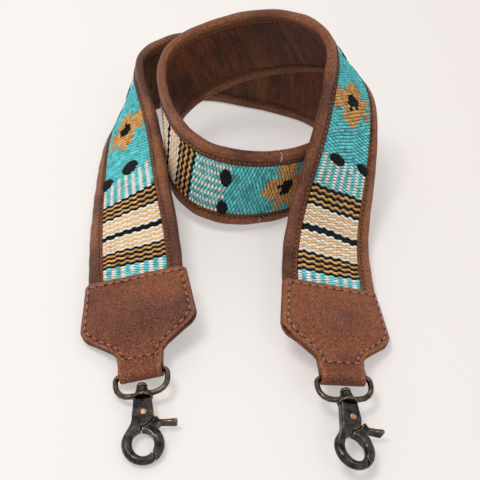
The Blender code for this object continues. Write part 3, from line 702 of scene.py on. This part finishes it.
def build_binding(side, splices):
    """Make a binding: leather folded round one edge, sewn through near its cut edges."""
    s = strap_places(0.00125)
    reach = window_half
    top = half_thickness
    flat_end = half_width - binding_edge_radius
    across = [reach - 0.0001, reach + 0.0002, reach + 0.0007, reach + 0.0014, reach + binding_seam - 0.0003,
              reach + binding_seam + 0.0003, reach + 0.0031, reach + 0.0040, reach + 0.0050]
    outer = [(u, top, 0.0) for u in across if u < flat_end]
    for angle in np.radians([90, 68, 46, 23, 0]):
        outer.append((flat_end + binding_edge_radius * math.cos(angle),
                      (top - binding_edge_radius) + binding_edge_radius * math.sin(angle), 1.0))
    outer = outer + [(u, -n, round_share) for u, n, round_share in reversed(outer)]
    inside = binding_leather
    inner = [(reach, -(top - inside)), (half_width - inside, -(top - inside) + 0.0004),
             (half_width - inside, (top - inside) - 0.0004), (reach, top - inside)]
    rings, rim_light_and_shade, raws = [], [], []
    swell = 0.00013 * wave_noise(s, 0 * s, 11 + side, 0.018)
    lip = lip_width(s, side)
    for number, (u, n, round_share) in enumerate(outer):
        face = 1 if n > 0 else -1
        past_seam = u - reach - binding_seam
        dip = seam_dip(past_seam) * binding_seam_depth
        crown = 0.00022 * math.sin(math.pi * min(1.0, max(0.0, past_seam / (half_width - reach))))
        lift = -dip + crown + swell * (0.4 if u < reach + 0.001 else 1.0)
        first = number in (0, len(outer) - 1)
        if first:
            rings.append(strap_points(s, side * (u - (lip if face > 0 else 0.0002)), face * (n - 0.00030)))
        else:
            rings.append(strap_points(s, side * (u + (lift if round_share else 0)), n + face * lift))
        # Painted shade in the seam channel; the outermost line of the fold is darkened too.
        shade = 0.50 * seam_dip(past_seam, 0.0006)
        rim_light_and_shade.append(np.full(len(s), shade) + (0.30 if u > half_width - 0.0002 else 0.0))
        bare = 1.0 if face > 0 else 0.15
        raws.append(np.full(len(s), bare * (1.0 if first else (0.5 if u < reach + 0.0003 else 0.0))))
    for u, n in inner:
        rings.append(strap_points(s, side * u, n))
        rim_light_and_shade.append(np.zeros(len(s)))
        raws.append(np.full(len(s), 1.0 if u == reach else 0.0))
    grid = np.stack(rings, axis=1)
    rim_shade_and_tone = np.stack(rim_light_and_shade, axis=1)
    raw_values = np.stack(raws, axis=1)
    # The rim colour also darkens the binding near the tabs and at its butt joints.
    near_tab = smoothstep((0.044 - s) / 0.024)
    if side > 0:
        near_tab = np.maximum(near_tab, smoothstep((s - strap_length + 0.070) / 0.045))
    patchy = 0.75 + 0.25 * wave_noise(s, 0 * s, 5, 0.02)
    rim_shade_and_tone = np.maximum(rim_shade_and_tone, 0.95 * near_tab[:, None] * patchy[:, None])
    for place in splices:
        near = np.exp(-((s - place) / 0.0007) ** 2)[:, None]
        rim_shade_and_tone = np.maximum(rim_shade_and_tone, near * 0.9)
        core = read(middle_line, s) + read(across_axes, s) * (side * (half_width - 0.004))
        grid = grid + (core[:, None, :] - grid) * 0.09 * near[..., None]
    name = "upper" if side > 0 else "lower"
    item = loft("binding_" + name, grid)
    add_values(item, "rim", rim_shade_and_tone)
    add_values(item, "raw", raw_values)
    face_outward(item)
    finish_piece(item, "strap", "binding_leather", binding_surface, name + "_binding")


def build_lining():
    """Make the inner leather, with the creases that run across it where the strap bends."""
    s = strap_places(0.0009)
    edge = core_half_width
    inner = -stack_top + 0.0005
    crown = inner - 0.0015
    bend = np.linalg.norm(np.gradient(read(outward_axes, s), s, axis=0), axis=1)
    bend = smoothstep(bend / 18.0)
    crown_across = np.linspace(-1, 1, 27)
    rings = [strap_points(s, -edge, inner), strap_points(s, -edge, -stack_top)]
    for share in crown_across:
        u = share * (window_half + 0.0004)
        falls = smoothstep((abs(u) - (window_half - 0.0009)) / 0.0012)
        creases = wave_noise(s + 0.10 * u * math.sin(share * 2), u * 0.18, 23, 0.0045)
        creases = 0.00016 * creases * (0.35 + bend) + 0.00022 * wave_noise(s, u * 0.5, 29, 0.022)
        n = (crown + creases) * (1 - falls) - stack_top * falls
        rings.append(strap_points(s, u, n))
    rings += [strap_points(s, edge, -stack_top), strap_points(s, edge, inner), strap_points(s, 0, inner)]
    widths = np.concatenate([[-edge, -edge], crown_across * window_half, [edge, edge, 0]])
    item = loft("lining", np.stack(rings, axis=1))
    add_values(item, "along", np.repeat(s, len(widths)))
    add_values(item, "across", np.tile(widths, len(s)))
    add_values(item, "rim", np.zeros(len(item.data.vertices)))
    add_values(item, "raw", np.zeros(len(item.data.vertices)))
    face_outward(item)
    finish_piece(item, "strap", "lining_leather", lining_surface, "lining_leather")


def build_core():
    """Make the hidden webbing between the panel and the lining."""
    edge = core_half_width
    top = stack_top - 0.0012
    foot = top - 0.0006
    section = [(-edge, foot), (0, foot), (edge, foot), (edge, top), (0, top), (-edge, top)]
    build_slab("webbing", section, 0.0030, "webbing", ground_surface(), "webbing_core")


# Thread

def build_stitches(name, centres, directions, normals, surface, slot, length, radius=thread_radius):
    """Make stitches as short bowed threads whose ends dive into the leather."""
    centres, directions, normals = [np.concatenate([np.atleast_2d(part) for part in parts])
                                    for parts in (centres, directions, normals)]
    directions = directions / np.linalg.norm(directions, axis=1, keepdims=True)
    normals = normals - directions * np.sum(normals * directions, axis=1, keepdims=True)
    normals /= np.linalg.norm(normals, axis=1, keepdims=True)
    sideways = np.cross(directions, normals)
    places = np.array([-0.5, -0.44, -0.30, 0.0, 0.30, 0.44, 0.5])
    rises = np.array([-1.5, -0.55, 0.30, 0.62, 0.30, -0.55, -1.5])
    thick = np.array([0.45, 0.9, 1.0, 1.0, 1.0, 0.9, 0.45])
    sides = 7
    angles = np.linspace(0, math.tau, sides, endpoint=False)
    count = len(centres)
    scale = 1 + 0.06 * rng.normal(0, 1, count)
    rings = []
    for place, rise, width in zip(places, rises, thick):
        middle = centres + directions * (place * length * scale)[:, None] + normals * (rise * radius)
        ring = [middle + (sideways * math.cos(a) + normals * math.sin(a)) * radius * width for a in angles]
        rings.append(np.stack(ring, axis=1))
    points = np.stack(rings, axis=1).reshape(-1, 3)
    size = len(places) * sides
    offset = (np.arange(count) * size)[:, None]
    base = np.arange(size).reshape(len(places), sides)
    after = np.roll(base, -1, axis=1)
    quads = np.stack([base[:-1], after[:-1], after[1:], base[1:]], axis=-1).reshape(-1, 4)
    faces = [(quads[None] + offset[:, :, None]).reshape(-1, 4), base[0][::-1][None] + offset,
             base[-1][None] + offset]
    item = make_mesh(name, points, faces)
    face_outward(item)
    finish_piece(item, "strap", slot, surface)


def build_binding_seams():
    """Sew both bindings along the strap on both faces, with painted hole shade between each two stitches."""
    places = np.arange(0.0012, strap_length, binding_pitch)
    for face, name in ((1, "outer"), (-1, "inner")):
        for kind, shift, surface, length, radius, sink in (
                ("seam", 0.0, dark_thread, 0.0019, thread_radius, 0.00022),
                ("hole_shades", binding_pitch / 2, hole_shade_surface, 0.0012, 0.00038, 0.00034)):
            centres, directions, normals = [], [], []
            for side in (1, -1):
                u = side * (window_half + binding_seam)
                at = places + shift + 0.0008 * side
                level = face * (half_thickness - sink)
                ahead = strap_points(at + stitch_half_step, u, level)
                back = strap_points(at - stitch_half_step, u, level)
                directions.append(ahead - back)
                centres.append((ahead + back) / 2)
                normals.append(read(outward_axes, at) * face)
            build_stitches("binding_" + kind + "_" + name, centres, directions, normals, surface,
                           "binding_leather", length, radius)


def build_splices(splices):
    """Close each butt joint of the bindings with a row of small pale stitches."""
    centres, directions, normals = [], [], []
    for side, place in splices:
        for step in range(7):
            u = side * (window_half + 0.0026 + step * 0.0008)
            s = np.array(place + 0.00022 * (-1) ** step)
            round_off = max(0.0, abs(u) - (half_width - binding_edge_radius)) / binding_edge_radius
            fall = binding_edge_radius * (1 - math.sqrt(max(0.0, 1 - round_off ** 2)))
            centres.append(strap_points(s, u, half_thickness + 0.00012 - fall))
            directions.append(read(across_axes, s) * 0.86 + read(along_axes, s) * 0.5 * (-1) ** step)
            normals.append(read(outward_axes, s))
    build_stitches("splice_stitches", centres, directions, normals, pale_thread, "binding_leather",
                   0.0015, 0.00027)


# Tabs

def tab_frame(side):
    """Axes of a tab, with its origin on the ring's bar, X across and Y into the strap."""
    index = 1 if side == "left" else -2
    sign = 1 if side == "left" else -1
    inward = along_axes[index] * sign
    across = across_axes[index] * sign
    outward = outward_axes[index]
    origin = middle_line[index] - inward * mouth_reach
    return origin, across, inward, outward


def tab_half_width(side, y):
    """Half width of a tab at a distance from the ring's bar."""
    mouth, width, _ = tab_sizes[side]
    places = [sleeve_start - down * tab_shoulder for _, down in reversed(shoulder_shares)]
    halves = [tab_neck_width / 2 + out * (width - tab_neck_width) / 2 for out, _ in reversed(shoulder_shares)]
    places = [0.0] + places + [mouth_reach]
    halves = [tab_neck_width / 2] + halves + [mouth / 2]
    return np.interp(y, places, halves)


def tab_world(side, x, y, n):
    """Turn places on a tab into points, with the neck's twist."""
    origin, across, inward, outward = tab_frame(side)
    turn = tab_sizes[side][2] * smoothstep(1 - y / sleeve_start)
    twisted_x = x * np.cos(turn) + n * np.sin(turn)
    twisted_n = n * np.cos(turn) - x * np.sin(turn)
    forward = np.asarray(y)[..., None] * inward
    return origin + twisted_x[..., None] * across + forward + twisted_n[..., None] * outward


def tab_level(side, x, y):
    """Height of a tab layer's middle over the strap's middle, pinched together beside the strap."""
    taper = smoothstep((y - (sleeve_start - neck_taper)) / neck_taper)
    level = neck_middle + (tab_middle - neck_middle) * taper
    half = tab_half_width(side, y)
    start = half_width - 0.0015
    pinch = smoothstep((np.abs(x) - start) / np.maximum(half - start, 0.0015))
    return level + (0.00095 - level) * pinch * taper


def seam_line(side):
    """Closed line of a tab's seam as (x, y), a set distance inside the outline."""
    y = np.linspace(mouth_reach - tab_seam, fold_outside + neck_seam, 160)
    half = tab_half_width(side, y)
    slope = np.gradient(half, y)
    x = half - tab_seam * np.sqrt(1 + slope ** 2)
    kernel = np.ones(7) / 7
    smooth_x = np.convolve(np.pad(x, 3, mode="edge"), kernel, mode="valid")
    right = np.stack([smooth_x, y], axis=1)
    left = right[::-1] * np.array([-1, 1])
    return np.concatenate([right, left, right[:1]])


def line_distance(points, line):
    """Distance from each point to a line of segments."""
    best = np.full(points.shape[:-1], 1e9)
    for start, end in zip(line[:-1], line[1:]):
        step = end - start
        share = np.clip(((points - start) @ step) / max(step @ step, 1e-12), 0, 1)
        best = np.minimum(best, np.linalg.norm(points - start - share[..., None] * step, axis=-1))
    return best


def build_tab(side):
    """Make a tab: one strip of leather from the front mouth round the ring's bar to the back mouth."""
    line = seam_line(side)
    neck_end = 0.0052
    flat_y = np.concatenate([np.linspace(mouth_reach, sleeve_start, 34),
                             np.linspace(sleeve_start, neck_end, 44)[1:]])
    path = [(y, float(tab_level(side, np.array(0.0), np.array(y)))) for y in flat_y]
    for angle in np.radians(np.linspace(40, 180, 9)):
        path.append((fold_radius * math.cos(angle), fold_radius * math.sin(angle)))
    path += [(y, -n) for y, n in reversed(path[:-1])]
    path = np.array(path)
    tangent = np.gradient(path, axis=0)
    tangent /= np.linalg.norm(tangent, axis=1, keepdims=True)
    normal = np.stack([tangent[:, 1], -tangent[:, 0]], axis=1)
    if normal[0, 1] < 0:
        normal = -normal
    shares = np.sin(np.linspace(-1, 1, 45) * math.pi / 2)
    rounding = np.radians([65, 40, 0, -40, -65])
    flats, corners = np.ones(len(shares)), np.ones(len(rounding))
    outer = np.concatenate([flats, 0 * corners, 0 * flats, 0 * corners])
    cut = np.concatenate([0 * flats, corners, 0 * flats, corners])
    depth = np.concatenate([flats, np.sin(rounding), -flats, np.sin(rounding[::-1])])
    field_x, field_strength = (0.004, 0.58) if side == "left" else (0.006, 0.22)
    rings, rim_light_and_shade, raws, fields = [], [], [], []
    for number, ((y, n), (normal_y, normal_n)) in enumerate(zip(path, normal)):
        half = float(tab_half_width(side, max(y, 0.0)))
        ends = min(number, len(path) - 1 - number)
        full = tab_leather / 2 * (0.55 if ends == 0 else 0.9 if ends == 1 else 1.0)
        if ends == 0:
            y = y + 0.0002
        front = 1 if number < len(path) / 2 else -1
        flat = y >= neck_end
        inside = half - tab_edge_radius
        corner = inside + tab_edge_radius * np.cos(rounding)
        x = np.concatenate([shares * inside, corner, shares[::-1] * inside, -corner[::-1]])
        offset = full * depth
        here = np.full_like(x, y)
        near = line_distance(np.stack([x, here], axis=1), line) if flat else np.ones_like(x)
        dip = tab_seam_depth * seam_dip(near, 0.0009) * outer
        puff = tab_puff * wave_noise(x + 0.2 * front, here, 41 if side == "left" else 47, 0.016)
        shift = np.sign(n if n else 1) * (np.abs(tab_level(side, x, here)) - abs(n)) if flat else 0 * x
        grid_y = y + normal_y * (offset - dip)
        grid_n = n + shift + normal_n * (offset - dip + puff * (1 if flat else 0.3))
        rings.append(tab_world(side, x, grid_y, grid_n))
        from_edge = np.minimum(half - np.abs(x), max(0.0, mouth_reach - y) if flat else 1.0)
        # Painted highlight: the rim outside the seam is tinted with the paler rim colour.
        rim_light_and_shade.append(0.7 * smoothstep((tab_seam - from_edge) / 0.0012) * outer)
        raws.append(cut * 0.55 + (0.5 if ends == 0 else 0.0))
        spread = ((x - field_x) / 0.017) ** 2 + ((y - 0.036) / 0.0105) ** 2
        fields.append(field_strength * np.exp(-spread) * outer)
    item = loft(side + "_tab_hide", np.stack(rings, axis=0))
    for layer, values in (("rim", rim_light_and_shade), ("raw", raws), ("field", fields)):
        add_values(item, layer, np.stack(values, axis=0))
    face_outward(item)
    finish_piece(item, "strap", "tab_leather", tab_surface, side + "_tab")


def build_tab_seam(side):
    """Sew a tab round its outline on both faces, with painted hole shade between each two stitches."""
    line = seam_line(side)
    steps = np.linalg.norm(np.diff(line, axis=0), axis=1)
    reach = np.concatenate([[0], np.cumsum(steps)])
    count = int(reach[-1] / tab_pitch)
    pitch = reach[-1] / count
    outward = tab_frame(side)[3]
    for kind, shift, surface, length, radius, sink in (
            ("seam", 0.0, brown_thread, 0.0030, 0.00044, 0.00010),
            ("hole_shades", pitch / 2, hole_shade_surface, 0.0021, 0.00050, 0.00040)):
        centres, directions, normals = [], [], []
        for face in (1, -1):
            ends = []
            for step in (-tab_stitch_half_step, tab_stitch_half_step):
                at = ((np.arange(count) + 0.5) * pitch + shift + step) % reach[-1]
                x = np.interp(at, reach, line[:, 0])
                y = np.interp(at, reach, line[:, 1])
                n = face * (tab_level(side, x, y) + tab_leather / 2 - sink)
                ends.append(tab_world(side, x, y, n))
            directions.append(ends[1] - ends[0])
            centres.append((ends[0] + ends[1]) / 2)
            normals.append(np.tile(outward * face, (count, 1)))
        build_stitches(side + "_tab_" + kind, centres, directions, normals, surface, "tab_leather",
                       length, radius)


# Metal

def neighbour_sum(edges, values):
    """Add up, at each point of a mesh, the values of the points that it shares an edge with."""
    total = np.zeros_like(values)
    for first, second in ((0, 1), (1, 0)):
        np.add.at(total, edges[:, first], values[edges[:, second]])
    return total


def wear_values(mesh, blur=6):
    """Estimate how sharply a mesh stands out at each point, from 0 to 1."""
    count = len(mesh.vertices)
    points = read_points(mesh)
    normals = read_normals(mesh)
    edges = np.empty(len(mesh.edges) * 2, np.int32)
    mesh.edges.foreach_get("vertices", edges)
    edges = edges.reshape(-1, 2)
    links = np.bincount(edges.ravel(), minlength=count)[:, None]
    average = neighbour_sum(edges, points) / np.maximum(links, 1)
    length = np.linalg.norm(points[edges[:, 0]] - points[edges[:, 1]], axis=1).mean()
    bulge = np.sum((points - average) * normals, axis=1) / length
    for _ in range(blur):
        bulge = 0.5 * bulge + 0.5 * neighbour_sum(edges, bulge) / np.maximum(links[:, 0], 1)
    return np.clip((bulge - 0.015) / 0.05, 0, 1)


def round_jaw(mesh, eye, pivot, axis):
    """Turn the boxy section of a jaw into a rounded one, from the eye's middle outwards."""
    points = read_points(mesh)
    axis = axis / np.linalg.norm(axis)
    upward = pivot - eye
    upward = upward - axis * (upward @ axis)
    upward = upward / np.linalg.norm(upward)
    sideways = np.cross(axis, upward)
    height = (points - pivot) @ axis
    flat = points - eye
    flat = flat - (flat @ axis)[:, None] * axis
    away = np.linalg.norm(flat, axis=1)
    angle = np.arctan2(flat @ sideways, flat @ upward)
    bins = 72
    slot = ((angle + math.pi) / math.tau * bins).astype(int) % bins
    near = (away < jaw_reach) & (np.abs(height) < jaw_core_height) & (np.abs(angle) > 0.6)
    inner = np.full(bins, 1.0)
    outer = np.full(bins, 0.0)
    np.minimum.at(inner, slot[near], away[near])
    np.maximum.at(outer, slot[near], away[near])
    known = outer > 0
    inner[~known] = np.median(inner[known])
    usual = np.median(outer[known])
    outer = np.where(known, np.minimum(outer, usual + jaw_allowance), usual)
    for _ in range(3):
        inner = (np.roll(inner, 1) + 2 * inner + np.roll(inner, -1)) / 4
        outer = (np.roll(outer, 1) + 2 * outer + np.roll(outer, -1)) / 4
    stops = (np.arange(-1, bins + 1) + 0.5) / bins * math.tau - math.pi
    inner = np.interp(angle, stops, np.concatenate([inner[-1:], inner, inner[:1]]))
    outer = np.interp(angle, stops, np.concatenate([outer[-1:], outer, outer[:1]]))
    middle = (inner + outer) / 2
    half = np.maximum((outer - inner) / 2, 0.0005)
    fat = half + jaw_swell
    out_share = np.clip((away - middle) / half, -1, 1)
    up_share = np.clip(height / jaw_half_height, -1, 1)
    weight = smoothstep((np.abs(angle) - 0.75) / 0.5) * (1 - smoothstep((away - outer) / 0.0006)) * 0.9
    outwards = middle + fat * out_share * np.sqrt(1 - up_share ** 2 / 2) - away
    upwards = jaw_half_height * up_share * np.sqrt(1 - out_share ** 2 / 2) - height
    direction = flat / np.maximum(away, 1e-9)[:, None]
    lever = smoothstep((np.abs(angle) - 0.75) / 0.2) * smoothstep((away - outer - 0.0008) / 0.001)
    points = points + read_normals(mesh) * (lever_swell * lever)[:, None]
    move = direction * outwards[:, None] + axis * upwards[:, None]
    move_points(mesh, points + weight[:, None] * move)


def build_metal(node, body, surface, voxel, rounds, jaw=None, swell=0.0):
    """Round off a packed metal solid into a cast piece with worn edges."""
    item = bpy.data.objects.new(node + "_cast", frame["nodes"][node].data.copy())
    bpy.context.scene.collection.objects.link(item)
    for kind in ("REMESH", "SMOOTH"):
        step = item.modifiers.new(kind, kind)
        if kind == "REMESH":
            step.mode = "VOXEL"
            step.voxel_size = voxel
        else:
            step.factor = 0.5
            step.iterations = rounds
        graph = bpy.context.evaluated_depsgraph_get()
        mesh = bpy.data.meshes.new_from_object(item.evaluated_get(graph))
        item.modifiers.clear()
        item.data = mesh
        if kind == "REMESH" and jaw:
            round_jaw(mesh, *jaw)
    for layer in list(mesh.attributes):
        if layer.name in ("sharp_face", "sharp_edge", "custom_normal"):
            mesh.attributes.remove(layer)
    mesh.shade_smooth()
    add_values(item, "wear", wear_values(mesh))
    if swell:
        move_points(mesh, read_points(mesh) + read_normals(mesh) * swell)
    finish_piece(item, body, "aged_metal", surface, node)


# Floor, light and camera

def aim_item(name, data, place, view):
    """Put a lamp or camera at a place, looking along a direction."""
    item = bpy.data.objects.new(name, data)
    item.location = place
    item.rotation_mode = "QUATERNION"
    item.rotation_quaternion = view.to_track_quat("-Z", "Y")
    bpy.context.scene.collection.objects.link(item)
    return item


def build_stage():
    """Lay a pale floor, with soft light from above and the photograph's camera."""
    scene = bpy.context.scene
    scene.view_settings.view_transform = "Standard"
    points = [(x * floor_size, y * floor_size, 0) for x, y in ((-1, -1), (1, -1), (1, 1), (-1, 1))]
    floor = make_mesh("floor", points, [np.array([[0, 1, 2, 3]])], smooth=False)
    nodes = Nodes("floor_paper")
    # Painted shade: the floor darkens towards +X, standing in for the light falling off away from the key lamp on
    # the left. The glow below uses this colour too.
    sideways = nodes.add("ShaderNodeSeparateXYZ", {"Vector": nodes.place}).outputs["X"]
    share = nodes.add("ShaderNodeMapRange", {"Value": sideways, "From Min": -0.12,
                                             "From Max": 0.30}).outputs[0]
    pale = nodes.mix(share, linear(249, 245, 242), linear(242, 235, 232))
    nodes.join(base_color=nodes.mix(1.0, pale, (floor_shade,) * 3, "MULTIPLY"), roughness=0.85,
               specular_ior_level=0.1)
    glow = nodes.add("ShaderNodeEmission", {"Color": pale, "Strength": 1.0}).outputs[0]
    share = nodes.maths("MULTIPLY", nodes.seen(), floor_glow)
    mixed = nodes.add("ShaderNodeMixShader", {0: share, 1: nodes.shader.outputs[0], 2: glow}).outputs[0]
    nodes.put(nodes.tree.nodes["Material Output"].inputs["Surface"], mixed)
    floor.data.materials.append(nodes.owner)

    nodes = Nodes("studio", bpy.data.worlds)
    scene.world = nodes.owner
    dim = nodes.tree.nodes["Background"]
    nodes.put(dim.inputs[0], (1.0, 0.985, 0.975))
    nodes.put(dim.inputs[1], world_strength)
    shown = nodes.add("ShaderNodeBackground", {0: linear(244, 238, 235)})
    both = nodes.add("ShaderNodeMixShader", {0: nodes.seen(), 1: dim.outputs[0], 2: shown.outputs[0]})
    nodes.put(nodes.tree.nodes["World Output"].inputs["Surface"], both.outputs[0])

    for name, place, width, power, colour in lamps:
        lamp = bpy.data.lights.new(name, "AREA")
        lamp.energy = power
        lamp.size = width
        lamp.color = colour
        aim_item(name, lamp, Vector(place), lamp_target - Vector(place))

    camera = bpy.data.cameras.new("camera")
    camera.sensor_width = 36.0
    camera.lens = camera_lens
    camera.clip_start = 0.01
    back = Vector((0, -math.cos(camera_elevation), math.sin(camera_elevation)))
    scene.camera = aim_item("camera", camera, Vector(coil_place) + back * camera_distance, -back)


build_stage()
build_panel()
build_lozenges()
upper_splices = [0.4275]
lower_splices = [0.4345]
build_binding(1, upper_splices)
build_binding(-1, lower_splices)
build_lining()
build_core()
build_binding_seams()
build_splices([(1, place) for place in upper_splices] + [(-1, place) for place in lower_splices])
for end in ("left", "right"):
    build_tab(end)
    build_tab_seam(end)
    low, high = [opening["box_m"] for opening in frame["record"]["physics"]["openings"]
                 if opening["name"] == end + "_hook_eye"][0]
    hinge = [joint for joint in frame["joints"] if joint["name"] == end + "_gate_hinge"][0]
    jaw = ((np.array(low) + np.array(high)) / 2, np.array(hinge["pos_m"]), np.array(hinge["axis"]))
    build_metal(end + "_ring", end + "_ring", bronze_surface, ring_voxel, 70, swell=ring_swell)
    build_metal(end + "_hook_body", end + "_hook", bronze_surface, cast_voxel, 14, jaw)
    build_metal(end + "_gate", end + "_gate", bronze_surface, cast_voxel, 14, jaw)
    for node, surface in (("_rivet", copper_surface), ("_gate_spring", spring_surface)):
        shown = frame["nodes"][end + node]
        shown.data.materials.clear()
        shown.data.materials.append(surface)
